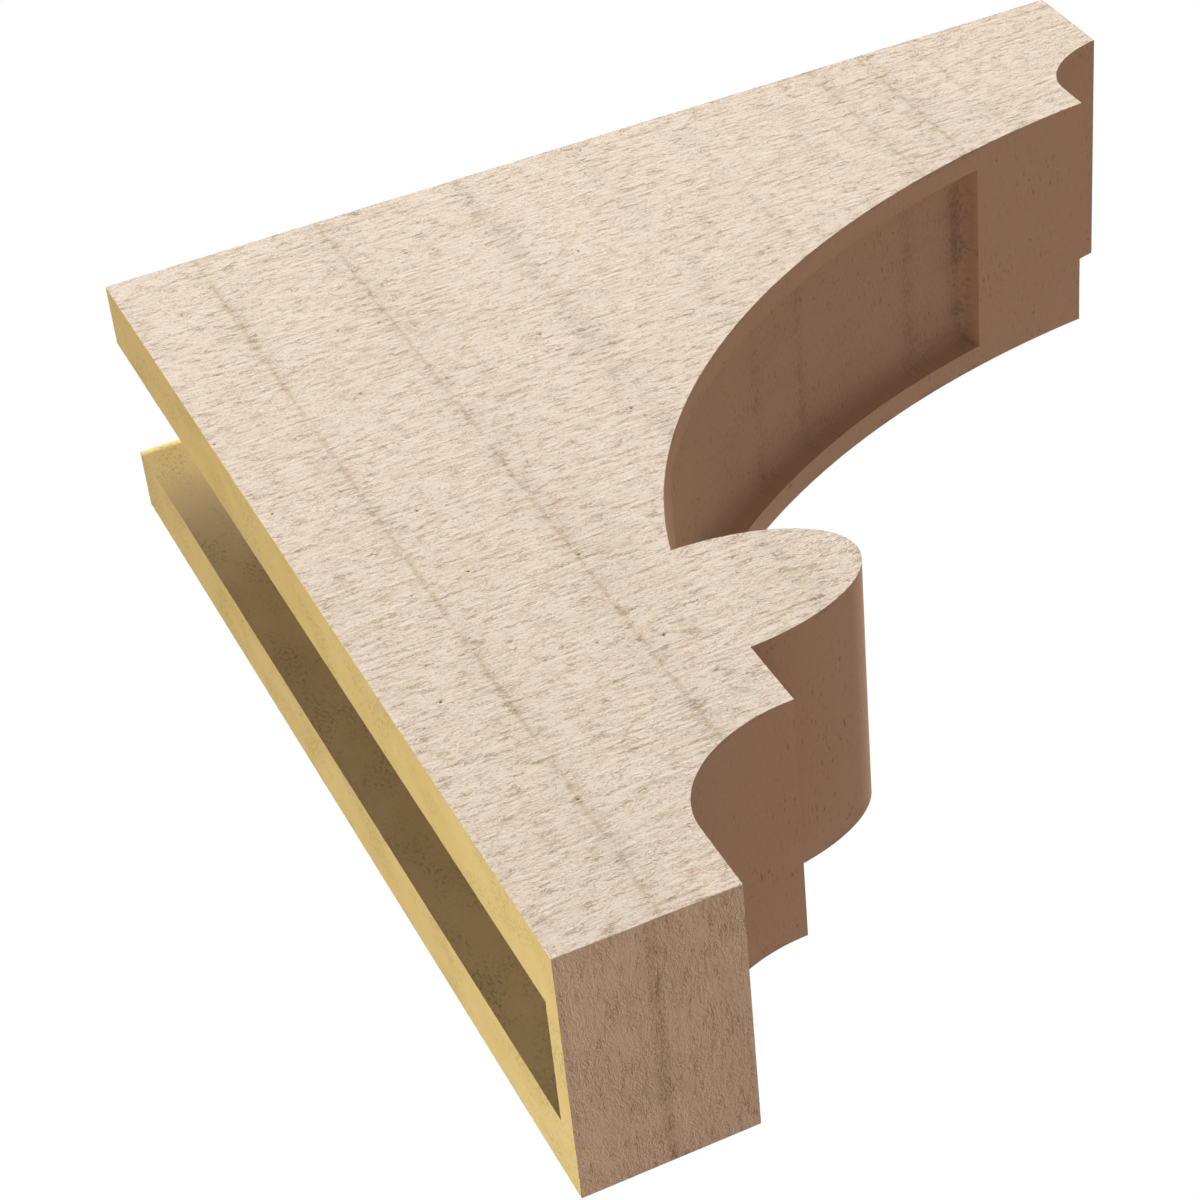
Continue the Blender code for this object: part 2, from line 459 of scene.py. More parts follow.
down_path = np.concatenate([[0.0], np.cumsum(np.hypot(*np.diff(rows, axis=0).T))])
into_wall = (rows - ARC_CENTRE) / np.square(ARC_RADII)
into_wall /= np.linalg.norm(into_wall, axis=1)[:, None]
from_side = WIDTH / 2 - np.abs(columns)
depth = np.minimum(sunk(panel_inside)[:, None], sunk(from_side - PANEL_BORDER)[None])
depth = np.where(panel_inside[:, None] > 0.0, np.maximum(depth, 0.0), 0.0)
flat = rows[:, None] + depth[..., None] * into_wall[:, None]
front_points = np.stack([np.broadcast_to(columns, depth.shape), -flat[..., 0], TOP - flat[..., 1]], 2)
grain_down = down_path[:, None] + GRAIN_STARTS["front"]
front_grain = np.stack(np.broadcast_arrays(columns, grain_down), 2)

corner_rows = [run_start[name] for name in run_start if "panel" not in name] + [len(rows) - 1]
from_corner = np.abs(down_path[:, None] - down_path[corner_rows]).min(1)
front_fade = fade(np.minimum(from_side[None], from_corner[:, None]))
# The crumble of the panel floor also paints it darker in the smooth skin: wear and painted shade in the
# recess.
front_crumble = banded(rows[:, :1], PANEL_BANDS) + PANEL_CRUMBLE
front_crumble = front_crumble * (depth / PANEL_DEPTH) ** WALL_FADE

split = run_start["underside"]
add_patch(
    front_points[: split + 1].reshape(-1, 3),
    grid_faces(split + 1, len(columns)),
    front_grain[: split + 1].reshape(-1, 2),
    FRONT,
    FRONT_SHARE * front_fade[: split + 1].ravel(),
    front_crumble[: split + 1].ravel(),
)
add_patch(
    front_points[split:].reshape(-1, 3),
    grid_faces(len(rows) - split, len(columns)),
    front_grain[split:].reshape(-1, 2),
    UNDERSIDE,
    UNDERSIDE_SHARE * front_fade[split:].ravel(),
    np.repeat(banded(rows[split:, 0], UNDERSIDE_BANDS), len(columns)),
)
print("front:", 2 * sum(len(patch["faces"]) for patch in patches[2:]), "triangles")

# %% [markdown]
# ## The bare rims and the hollow
#
# The mould is open at the back and the top, where the foam is struck off level. The walls are as
# thick as they are on the real one, 25 mm at the sides and 9.5 mm at the bottom, and the hollow
# follows the front at the thickness of a side wall. These faces are flat and even, so wide steps do.

# %% The walls of the hollow
def hollow_path():
    """(out, drop) round the hollow from the top of its front, down to the wall at the bottom."""
    radii = (ARC_RADII[0] + FRONT_WALL, ARC_RADII[1] + FRONT_WALL)
    back_out = STEP_OUT - FRONT_WALL
    low = 180.0 + degrees(asin((ARC_CENTRE[1] - BULL_CENTRE[1]) / radii[1]))
    arc = curve(ARC_CENTRE, radii, angle_at(HOLLOW_OUT, ARC_CENTRE, radii), low)
    arc[:, 0] = np.maximum(arc[:, 0], back_out)
    cove_radii = (FOOT_COVE_RADII[0] + FRONT_WALL, FOOT_COVE_RADII[1] + FRONT_WALL)
    cove = curve(FOOT_COVE_CENTRE, cove_radii, angle_at(back_out, FOOT_COVE_CENTRE, cove_radii), 180.0)
    foot_back = (FOOT_OUT - FRONT_WALL, FLOOR_DROP)
    runs = [
        [(HOLLOW_OUT, 0.0), arc[0]],
        arc,
        [arc[-1], cove[0]],
        cove,
        [cove[-1], foot_back],
        [foot_back, (0.0, FLOOR_DROP)],
    ]
    parts = [evenly(run, HOLLOW_STEP)[:-1] for run in runs]
    return np.concatenate(parts + [[(0.0, FLOOR_DROP)]])


hollow_rows = hollow_path()
inner_half = WIDTH / 2 - SIDE_WALL
hollow_columns = np.linspace(-inner_half, inner_half, round(2 * inner_half / HOLLOW_STEP) + 1)
hollow_top = evenly([(0.0, 0.0), (HOLLOW_OUT, 0.0)], RIM_STEP)
hollow_back = evenly([(0.0, FLOOR_DROP), (0.0, 0.0)], RIM_STEP)
hollow_outline = np.concatenate([hollow_top[:-1], hollow_rows[:-1], hollow_back[:-1]])

steps = np.arange(HOLLOW_STEP, DEPTH, HOLLOW_STEP)
scatter = np.stack(np.meshgrid(steps, steps), 2).reshape(-1, 2)
near, inside = from_edge(scatter, hollow_outline)
scatter = scatter[inside & (near > CLEAR_OF_EDGE * HOLLOW_STEP)]
flat = np.concatenate([hollow_outline, scatter])
for x in (-inner_half, inner_half):
    grain = flat + (0.0, GRAIN_STARTS["sides of the hollow"] + x)
    add_patch(in_space(x, flat), triangles(hollow_outline, scatter), grain, INSIDE)

wide = np.broadcast_to(hollow_columns, (len(hollow_rows), len(hollow_columns)))
deep = np.broadcast_to(hollow_rows[:, None], wide.shape + (2,))
walked = np.concatenate([[0.0], np.cumsum(np.hypot(*np.diff(hollow_rows, axis=0).T))])
grain_down = np.broadcast_to(walked[:, None] + GRAIN_STARTS["front of the hollow"], wide.shape)
add_patch(
    np.stack([wide, -deep[..., 0], TOP - deep[..., 1]], 2).reshape(-1, 3),
    grid_faces(*wide.shape),
    np.stack([wide, grain_down], 2).reshape(-1, 2),
    INSIDE,
)


# %% The rims at the top and the back
def rim_outline(outer_run, outer_end, inner_end, inner_run):
    """A rim shaped like a U: up one side, across its closed end and down the other side.

    The outer run goes from the open end to the closed end, and so does the inner run. Both are
    distances along the rim. The ends are places across the width."""
    left = np.stack([np.full(len(outer_run), -WIDTH / 2), outer_run], 1)
    right = left[::-1] * (-1, 1)
    across = np.stack([outer_end, np.full(len(outer_end), outer_run[-1])], 1)
    inner_right = np.stack([np.full(len(inner_run), inner_half), inner_run], 1)
    inner_across = np.stack([inner_end[::-1], np.full(len(inner_end), inner_run[-1])], 1)
    inner_left = inner_right[::-1] * (-1, 1)
    edge_steps = evenly([(-WIDTH / 2, 0.0), (-inner_half, 0.0)], RIM_STEP)[1:-1]
    right_end = edge_steps[::-1] * (-1, 1)
    outer = [left[:-1], across[:-1], right, right_end]
    return np.concatenate(outer + [inner_right[:-1], inner_across[:-1], inner_left, edge_steps[::-1]])


def rim_scatter(outline, length):
    """Inner points of a rim of this length."""
    across = np.arange(-WIDTH / 2 + RIM_STEP / 2, WIDTH / 2, RIM_STEP)
    along = np.arange(RIM_STEP / 2, length, RIM_STEP)
    points = np.stack(np.meshgrid(across, along), 2).reshape(-1, 2)
    near, inside = from_edge(points, outline)
    return points[inside & (near > CLEAR_OF_EDGE * RIM_STEP)]


top_rim = rim_outline(top_edge[:, 0], columns, hollow_columns, hollow_top[:, 0])
inner = rim_scatter(top_rim, DEPTH)
flat = np.concatenate([top_rim, inner])
points = np.stack([flat[:, 0], -flat[:, 1], np.full(len(flat), TOP)], 1)
add_patch(points, triangles(top_rim, inner), flat + (0.0, GRAIN_STARTS["top rim"]), RIM)

back_rim = rim_outline(back_edge[::-1, 1], columns, hollow_columns, hollow_back[::-1, 1])
inner = rim_scatter(back_rim, HEIGHT)
flat = np.concatenate([back_rim, inner])
points = np.stack([flat[:, 0], np.zeros(len(flat)), TOP - flat[:, 1]], 1)
add_patch(points, triangles(back_rim, inner), flat + (0.0, GRAIN_STARTS["back rim"]), RIM)

# %% Merge the patches into one closed mesh
SHARP_FROM = radians(30.0)


def merged_mesh(name):
    """One mesh of all patches. Where two share a point, the first patch's values hold."""
    points = np.concatenate([patch["points"] for patch in patches])
    welded = np.round(points / WELD)
    first, owner = np.unique(welded, axis=0, return_index=True, return_inverse=True)[1:]
    owner = owner.ravel()
    faces = []
    corner_grain = []
    start = 0
    for patch in patches:
        for face in patch["faces"]:
            faces.append(tuple(owner[face + start]))
        corner_grain.append(patch["grain"][patch["faces"].ravel()])
        start += len(patch["points"])
    mesh = bpy.data.meshes.new(name)
    mesh.from_pydata(points[first], [], faces)
    grain = mesh.uv_layers.new(name="grain")
    grain.data.foreach_set("uv", np.concatenate(corner_grain).ravel().astype(np.float32))
    finish = mesh.attributes.new("finish", "INT", "FACE")
    numbers = np.concatenate([patch["finish"] for patch in patches]).astype(np.int32)
    finish.data.foreach_set("value", numbers)
    for label in ("amount", "crumble", "pit"):
        layer = mesh.attributes.new(label, "FLOAT", "POINT")
        values = np.concatenate([patch[label] for patch in patches])[first].astype(np.float32)
        layer.data.foreach_set("value", values)
    place = mesh.attributes.new("place", "FLOAT_VECTOR", "POINT")
    flat = np.concatenate([patch["grain"] for patch in patches])[first]
    place.data.foreach_set("vector", np.pad(flat, ((0, 0), (0, 1))).ravel().astype(np.float32))
    return mesh


mesh = merged_mesh("corbel")
work = bmesh.new()
work.from_mesh(mesh)
bmesh.ops.recalc_face_normals(work, faces=work.faces)
open_edges = sum(not edge.is_manifold for edge in work.edges)
print("open edges:", open_edges, "volume", round(work.calc_volume() * 1e6, 1), "cubic centimetres")
work.to_mesh(mesh)
work.free()
mesh.shade_smooth()
mesh.set_sharp_from_angle(angle=SHARP_FROM)
mesh.calc_loop_triangles()
print("triangles:", len(mesh.loop_triangles))
corbel = bpy.data.objects.new("corbel", mesh)
bpy.context.scene.collection.objects.link(corbel)

# %% [markdown]
# ## Small helpers for node trees
#
# Geometry trees and shader trees are built in the same way, so the same helpers serve both. They put
# a node in a tree and fill its sockets, do a sum, ease a value from one range to another, and make
# noise. The noise is counted in steps along and across the grain, because almost every mark on a
# sawn board is longer one way than the other.

# %% Helpers for node trees
def put(tree, kind, sockets=None, **settings):
    """Adds a node with its settings. Each socket is linked to another one, or given a value."""
    made = tree.nodes.new(kind)
    for name, value in settings.items():
        setattr(made, name, value)
    for name, value in (sockets or {}).items():
        if isinstance(value, bpy.types.NodeSocket):
            tree.links.new(value, made.inputs[name])
        else:
            made.inputs[name].default_value = value
    return made


def sum_of(tree, operation, *values):
    """The result of a Math node."""
    return put(tree, "ShaderNodeMath", dict(enumerate(values)), operation=operation).outputs[0]


def times(tree, first, second):
    """The product of two values."""
    return sum_of(tree, "MULTIPLY", first, second)


def eased(tree, value, low, high, to_low=0.0, to_high=1.0):
    """The value brought smoothly from one range to another."""
    sockets = {"Value": value, "From Min": low, "From Max": high, "To Min": to_low, "To Max": to_high}
    return put(tree, "ShaderNodeMapRange", sockets, interpolation_type="SMOOTHSTEP").outputs["Result"]


def stretched(tree, vector, along, across):
    """The grain's place counted in steps: this many metres along the grain and across it."""
    rate_along = sum_of(tree, "DIVIDE", 1.0, along)
    rate_across = sum_of(tree, "DIVIDE", 1.0, across)
    rates = put(tree, "ShaderNodeCombineXYZ", {"X": rate_along, "Y": rate_across, "Z": 1.0}).outputs[0]
    return put(tree, "ShaderNodeVectorMath", {0: vector, 1: rates}, operation="MULTIPLY").outputs[0]


def noise(tree, place, along, across, detail=2.0, roughness=0.5, distortion=0.0):
    """Noise from 0 to 1 whose bumps are this long along the grain and this wide across it."""
    vector = stretched(tree, place, along, across)
    sockets = {
        "Vector": vector, "Scale": 1.0, "Detail": detail, "Roughness": roughness, "Distortion": distortion,
    }
    return put(tree, "ShaderNodeTexNoise", sockets, noise_dimensions="3D", normalize=True).outputs[0]


def new_group(name, kind, inputs, outputs):
    """A node group with named inputs and outputs, and its two end nodes."""
    tree = bpy.data.node_groups.new(name, kind)
    for label, (socket_type, default) in inputs.items():
        made = tree.interface.new_socket(label, in_out="INPUT", socket_type=socket_type)
        if default is not None:
            made.default_value = default
    for label, socket_type in outputs.items():
        tree.interface.new_socket(label, in_out="OUTPUT", socket_type=socket_type)
    return tree, tree.nodes.new("NodeGroupInput").outputs, tree.nodes.new("NodeGroupOutput").inputs


def new_effect(name, numbers, *outputs):
    """A shader group that takes a place in the grain and some numbers, each with its default."""
    inputs = {"Place": ("NodeSocketVector", None)}
    inputs.update({label: ("NodeSocketFloat", value) for label, value in numbers.items()})
    return new_group(name, "ShaderNodeTree", inputs, {label: "NodeSocketFloat" for label in outputs})


# %% [markdown]
# ## Dots and slow changes of tone
#
# Tiny bubbles lie against the mould here and there and leave round dots in the skin. The tone of the
# coat and of the foam also changes slowly from place to place, as on any sprayed or cut surface.
# Each of these effects is a node group that is built once, so that every finish can place it with
# its own sizes.

# %% Specks and mottling
specks_group, given, result = new_effect(
    "specks", {"Cell": 6.0 * MM, "Radius": 0.12, "Share": 0.3}, "Mask"
)
tree = specks_group
cells = stretched(tree, given["Place"], given["Cell"], given["Cell"])
found = put(tree, "ShaderNodeTexVoronoi", {"Vector": cells, "Scale": 1.0}, voronoi_dimensions="2D")
# Each cell draws its own numbers: whether it has a dot, and how large that is.
draws = put(tree, "ShaderNodeSeparateColor", {0: found.outputs["Color"]}).outputs
chosen = sum_of(tree, "LESS_THAN", draws[0], given["Share"])
size = sum_of(tree, "MULTIPLY_ADD", draws[1], 0.8, 0.4)
radius = times(tree, given["Radius"], size)
dark_radius = times(tree, radius, 0.45)
dot = eased(tree, found.outputs["Distance"], radius, dark_radius)
tree.links.new(times(tree, dot, chosen), result["Mask"])

mottle_group, given, result = new_effect(
    "mottling", {"Size Along": 60.0 * MM, "Size Across": 20.0 * MM}, "Factor"
)
tree = mottle_group
clouds = noise(tree, given["Place"], given["Size Along"], given["Size Across"], 4.0, 0.6)
tree.links.new(eased(tree, clouds, 0.3, 0.7), result["Factor"])

# %% [markdown]
# ## Marks of the saw
#
# A coarse saw tears the wood between its teeth. The skin is a cast of such a board, so it shows what
# the saw left: crumbs with dark creases round them, ripples from the teeth, cracks along the grain,
# and thin seams that run down the face in the crumbly bands. None of them is unbroken, so each one
# is multiplied by a noise of its own that lets it come and go. A picture of a real board would hold
# all of this too, but it would repeat and blur, while noise can be drawn out along the grain and is
# sharp at any distance. The groups give a height, for the relief, and a crease, for the colour, so
# that the dark lines lie in the low places.

# %% Crumbs and ripples
crumbs_group, given, result = new_effect(
    "crumbs", {"Length": 3.0 * MM, "Spacing": 1.65 * MM}, "Height", "Crease"
)
tree = crumbs_group
away = noise(tree, given["Place"], given["Length"], given["Spacing"], 2.0, 0.6, 0.5)
away = sum_of(tree, "ABSOLUTE", sum_of(tree, "SUBTRACT", away, 0.5))
rounded = eased(tree, away, 0.0, 0.11)
broken = noise(tree, given["Place"], 6.0 * MM, 1.9 * MM, 3.0, 0.6)
broken = eased(tree, broken, 0.42, 0.56)
crease = times(tree, eased(tree, away, 0.045, 0.0), broken)
flat_part = sum_of(tree, "SUBTRACT", 1.0, broken)
tree.links.new(sum_of(tree, "MAXIMUM", rounded, flat_part), result["Height"])
tree.links.new(crease, result["Crease"])

ripples_group, given, result = new_effect(
    "saw ripples", {"Spacing": 2.4 * MM, "Wander": 1.2}, "Height", "Crease"
)
tree = ripples_group
across = put(tree, "ShaderNodeSeparateXYZ", {0: given["Place"]}).outputs["Y"]
wander = noise(tree, given["Place"], 22.0 * MM, 11.0 * MM)
wander = times(tree, sum_of(tree, "SUBTRACT", wander, 0.5), given["Wander"])
turns = sum_of(tree, "ADD", sum_of(tree, "DIVIDE", across, given["Spacing"]), wander)
ridge = sum_of(tree, "COSINE", times(tree, turns, 2 * pi))
ridge = sum_of(tree, "MULTIPLY_ADD", ridge, 0.5, 0.5)
strength = noise(tree, given["Place"], 30.0 * MM, 17.0 * MM, 2.0)
strength = eased(tree, strength, 0.42, 0.64, 0.05, 1.0)
broken = eased(tree, noise(tree, given["Place"], 5.0 * MM, 1.5 * MM, 2.0), 0.42, 0.6)
broken = times(tree, broken, strength)
tree.links.new(times(tree, ridge, strength), result["Height"])
tree.links.new(times(tree, eased(tree, ridge, 0.3, 0.0), broken), result["Crease"])

# %% Cracks and seams
SEAM_WIDTH = 0.38 * MM
SEAM_FROM = 0.5

cracks_group, given, result = new_effect(
    "cracks", {"Length": 7.0 * MM, "Spacing": 2.6 * MM, "Share": 0.3}, "Crease"
)
tree = cracks_group
away = noise(tree, given["Place"], given["Length"], given["Spacing"], 3.0, 0.6, 0.8)
away = sum_of(tree, "ABSOLUTE", sum_of(tree, "SUBTRACT", away, 0.5))
thin = eased(tree, away, 0.03, 0.004)
open_part = noise(tree, given["Place"], 8.0 * MM, 2.3 * MM, 2.0)
least = sum_of(tree, "MULTIPLY_ADD", given["Share"], -0.45, 0.75)
open_part = eased(tree, open_part, least, sum_of(tree, "ADD", least, 0.08))
tree.links.new(times(tree, thin, open_part), result["Crease"])

seams_group, given, result = new_effect("saw seams", {"Wander": 0.8 * MM}, "Crease")
tree = seams_group
out = put(tree, "ShaderNodeSeparateXYZ", {0: given["Place"]}).outputs["X"]
wander = noise(tree, given["Place"], 9.0 * MM, 7.0 * MM, 3.0, 0.6)
wander = times(tree, sum_of(tree, "SUBTRACT", wander, 0.5), given["Wander"])
out = sum_of(tree, "DIVIDE", sum_of(tree, "ADD", out, wander), DEPTH)
# A colour ramp from the wall to the nose holds one thin peak for each band that is strong enough.
lines = put(tree, "ShaderNodeValToRGB", {"Fac": out})
ramp = lines.color_ramp
ramp.elements[1].color = (0.0, 0.0, 0.0, 1.0)
for place, _, strength in BANDS:
    if strength >= SEAM_FROM:
        for step, level in ((-SEAM_WIDTH, 0.0), (0.0, strength), (SEAM_WIDTH, 0.0)):
            ramp.elements.new((place + step) / DEPTH).color = (level, level, level, 1.0)
broken = noise(tree, given["Place"], 3.0 * MM, 6.0 * MM, 3.0)
broken = eased(tree, broken, 0.40, 0.52)
tree.links.new(times(tree, lines.outputs["Color"], broken), result["Crease"])
print("shared effects:", ", ".join(group.name for group in bpy.data.node_groups))

# %% [markdown]
# ## What all finishes have in common
#
# Every finish of the corbel is dull, as foam and its mould coat are. So one function makes a dull
# material whose place in the grain is ready for use, and others lay one colour over another and
# turn a height into a bump. The distance of a bump is a real depth in metres.

# %% Helpers for the finishes
def finish_material(name, roughness):
    """A dull material, the tree it is built in, its shader and its place in the grain."""
    material = bpy.data.materials.new(name)
    material.use_nodes = True
    tree = material.node_tree
    shader = tree.nodes["Principled BSDF"]
    shader.inputs["Roughness"].default_value = roughness
    shader.inputs["Specular IOR Level"].default_value = 0.2
    place = put(tree, "ShaderNodeUVMap", uv_map="grain").outputs[0]
    return material, tree, shader, place


def stored_value(tree, name):
    """A value that the mesh carries at each of its points."""
    return put(tree, "ShaderNodeAttribute", attribute_name=name).outputs["Fac"]


def group_node(tree, group, **sockets):
    """One use of a shared effect, with the inputs that are named."""
    named = {label.replace("_", " "): value for label, value in sockets.items()}
    return put(tree, "ShaderNodeGroup", named, node_tree=group)


def blend_colours(tree, factor, first, second):
    """The first colour where the factor is 0, the second where it is 1."""
    mix = put(tree, "ShaderNodeMix", data_type="RGBA", clamp_factor=True)
    for socket, value in ((mix.inputs[0], factor), (mix.inputs[6], first), (mix.inputs[7], second)):
        if isinstance(value, bpy.types.NodeSocket):
            tree.links.new(value, socket)
        else:
            socket.default_value = (*value, 1.0) if isinstance(value, tuple) else value
    return mix.outputs[2]


def bumped(tree, shader, height, distance):
    """Turns a height into a bump of the shader, with this many metres to a height of 1."""
    bump = put(tree, "ShaderNodeBump", {"Height": height, "Strength": 1.0, "Distance": distance})
    tree.links.new(bump.outputs[0], shader.inputs["Normal"])


# %% [markdown]
# ## The sawn skin
#
# The coat is a pale, warm tan that turns brown in the creases and dark in the pinholes, where dirt
# and shade gather. Up close the sides are all short grit, a millimetre long, with broken lines along
# the grain. The underside has rounder grit, no ripples, and one torn band. So the two are one recipe
# with other values. The heights are counted from about their mean before the roughness multiplies
# them. If they weren't, the roughness itself would make slopes, and those show as grey clouds.

# %% The sawn skin
SKIN_PALE = (0.61, 0.43, 0.315)
SKIN_TAN = (0.60, 0.42, 0.303)
SKIN_CREASE = (0.37, 0.205, 0.085)
SKIN_PIT = (0.15, 0.09, 0.05)
SKIN_WORN_AND_SHADED = (0.44, 0.31, 0.225)


def sawn_finish(name, share, rippled, evenness, along, across):
    """The sawn skin, given how deep, rippled and even it is, and how long and wide its grit is."""
    material, tree, shader, place = finish_material(name, roughness=0.8)
    crumbly = stored_value(tree, "crumble")
    pit = stored_value(tree, "pit")
    ripples = group_node(tree, ripples_group, Place=place)
    open_share = sum_of(tree, "MULTIPLY_ADD", crumbly, 0.12, 0.40)
    cracks = group_node(tree, cracks_group, Place=place, Share=open_share)
    fine_cracks = group_node(
        tree, cracks_group, Place=place, Length=3.8 * MM, Spacing=1.35 * MM, Share=0.62
    )
    seams = group_node(tree, seams_group, Place=place)
    seam = times(tree, seams.outputs["Crease"], eased(tree, crumbly, 0.08, 0.3))
    mottle = group_node(tree, mottle_group, Place=place)
    crumbs = group_node(tree, crumbs_group, Place=place, Length=2.2 * along, Spacing=1.7 * across)
    grit = noise(tree, place, along, across, 4.0, 0.8, 0.2)
    lines = noise(tree, place, 40.0 * MM, 2.2 * MM, 2.0, 0.6, 0.1)
    smoother = noise(tree, place, 22.0 * MM, 16.0 * MM, 2.0)
    rough = eased(tree, smoother, 0.35, 0.6, evenness, 1.0)
    rough = times(tree, rough, sum_of(tree, "MULTIPLY_ADD", crumbly, 0.25, 1.0))
    tone = blend_colours(tree, mottle.outputs["Factor"], SKIN_PALE, SKIN_TAN)
    # Dirt and painted shade: each crease mask darkens the colour towards the crease tone.
    creases = (
        (eased(tree, grit, 0.40, 0.29), 0.35 + 0.15 * rippled),
        (eased(tree, lines, 0.43, 0.34), 0.3 * rippled),
        (crumbs.outputs["Crease"], 0.65 * rippled + 0.15),
        (ripples.outputs["Crease"], 0.4 * rippled),
        (cracks.outputs["Crease"], 0.95),
        (fine_cracks.outputs["Crease"], 0.3 * rippled + 0.45),
        (seam, 0.85 * rippled),
        (crumbly, 0.4 - 0.4 * rippled),
    )
    for mask, most in creases:
        tone = blend_colours(tree, times(tree, mask, most * share), tone, SKIN_CREASE)
    # Dirt and painted shade: the torn spots of the band and the pinholes are darkened in the colour; the
    # pinholes are also sunk in the mesh.
    torn = times(tree, crumbly, eased(tree, grit, 0.58, 0.4))
    tone = blend_colours(tree, times(tree, torn, 0.5 - 0.5 * rippled), tone, SKIN_PIT)
    tone = blend_colours(tree, eased(tree, pit, 0.15 * MM, 0.7 * MM), tone, SKIN_PIT)
    tree.links.new(tone, shader.inputs["Base Color"])
    height = sum_of(tree, "MULTIPLY_ADD", grit, 1.65, -1.0 - 0.4 * rippled)
    heights = (
        (crumbs.outputs["Height"], 0.24),
        (lines, 0.65 * rippled),
        (ripples.outputs["Height"], 0.3 * rippled),
        (cracks.outputs["Crease"], -0.5),
        (fine_cracks.outputs["Crease"], -0.2),
        (seam, -0.4 * rippled),
    )
    for part, most in heights:
        height = sum_of(tree, "MULTIPLY_ADD", part, most, height)
    bumped(tree, shader, times(tree, height, rough), share * MM)
    return material


sawn_side = sawn_finish(
    "sawn_side", share=0.8, rippled=1.0, evenness=0.95, along=1.2 * MM, across=0.85 * MM
)
sawn_underside = sawn_finish(
    "sawn_underside", share=0.55, rippled=0.0, evenness=0.5, along=1.7 * MM, across=1.6 * MM
)
print("sawn skin:", sawn_side.name, "and", sawn_underside.name)

# %% [markdown]
# ## The smooth skin
#
# The front of the mould was smooth, so the coat shows only short dark dashes across the width, which
# come in clusters, and a few round dots. Both are colour only, as they have next to no depth. The
# floor of the panel is worn and sunk: there the coat is painted greyer and grainy, partly for the wear
# and partly as painted shade in the recess, and it is rough in the same places. That could be a sixth
# finish, but a value on the mesh lets one fade into the other.

# %% The smooth skin
def smooth_finish(name):
    """The coat where the mould was smooth, painted greyer for wear and shade where the mesh says that it is
    crumbly.
    """
    material, tree, shader, place = finish_material(name, roughness=0.7)
    mottle = group_node(tree, mottle_group, Place=place, Size_Along=40.0 * MM, Size_Across=25.0 * MM)
    dashes = noise(tree, place, 4.5 * MM, 1.2 * MM, 2.0, 0.6)
    dashes = eased(tree, dashes, 0.43, 0.3)
    clusters = noise(tree, place, 16.0 * MM, 26.0 * MM, 3.0, 0.6)
    clusters = eased(tree, clusters, 0.44, 0.62)
    dashes = times(tree, dashes, sum_of(tree, "MULTIPLY_ADD", clusters, 0.9, 0.08))
    grain = noise(tree, place, 2.2 * MM, 0.9 * MM, 3.0, 0.7)
    crumbly = stored_value(tree, "crumble")
    grainy = sum_of(tree, "MULTIPLY_ADD", crumbly, 0.36, 0.08)
    grainy = times(tree, eased(tree, grain, 0.56, 0.36), grainy)
    dots = group_node(tree, specks_group, Place=place, Cell=14.0 * MM, Radius=0.055, Share=0.25)
    tone = blend_colours(tree, mottle.outputs["Factor"], SKIN_PALE, SKIN_TAN)
    # Wear and painted shade: the sunk floor of the panel is darker, most of all in its upper band.
    tone = blend_colours(tree, eased(tree, crumbly, 0.0, 0.14, 0.0, 0.16), tone, SKIN_WORN_AND_SHADED)
    tone = blend_colours(tree, eased(tree, crumbly, 0.3, 0.9, 0.0, 0.55), tone, SKIN_WORN_AND_SHADED)
    tone = blend_colours(tree, grainy, tone, SKIN_PIT)
    tone = blend_colours(tree, times(tree, dashes, 0.45), tone, SKIN_PIT)
    tone = blend_colours(tree, times(tree, dots.outputs["Mask"], 0.4), tone, SKIN_PIT)
    tree.links.new(tone, shader.inputs["Base Color"])
    depth = sum_of(tree, "MULTIPLY_ADD", crumbly, 1.1, 0.2)
    height = times(tree, sum_of(tree, "SUBTRACT", grain, 0.5), depth)
    bumped(tree, shader, height, 1.0 * MM)
    return material


smooth_front = smooth_finish("smooth_front")
print("smooth skin:", smooth_front.name)

# %% [markdown]
# ## The bare foam
#
# The rims are freshly struck off, so they show the yellow of the foam and the small cells that the
# blade cut open. The cells are too small to be modelled, so a fine noise paints the shade in them and
# gives them a little depth. The hollow has a thin, greyer skin of its own. Towards the open top its
# walls are painted a darker, more orange tone: painted light, for the light that falls in there.

# %% The bare foam
FOAM_PALE = (0.705, 0.535, 0.222)
FOAM_DEEP = (0.66, 0.487, 0.178)
FOAM_CELL = (0.38, 0.30, 0.08)
INNER_PALE = (0.73, 0.62, 0.41)
INNER_DEEP = (0.66, 0.55, 0.355)
INNER_CELL = (0.24, 0.19, 0.11)
INNER_TOP_LIGHT_TINT = (0.555, 0.36, 0.119)
TOP_LIGHT_TINT_REACH = 0.12


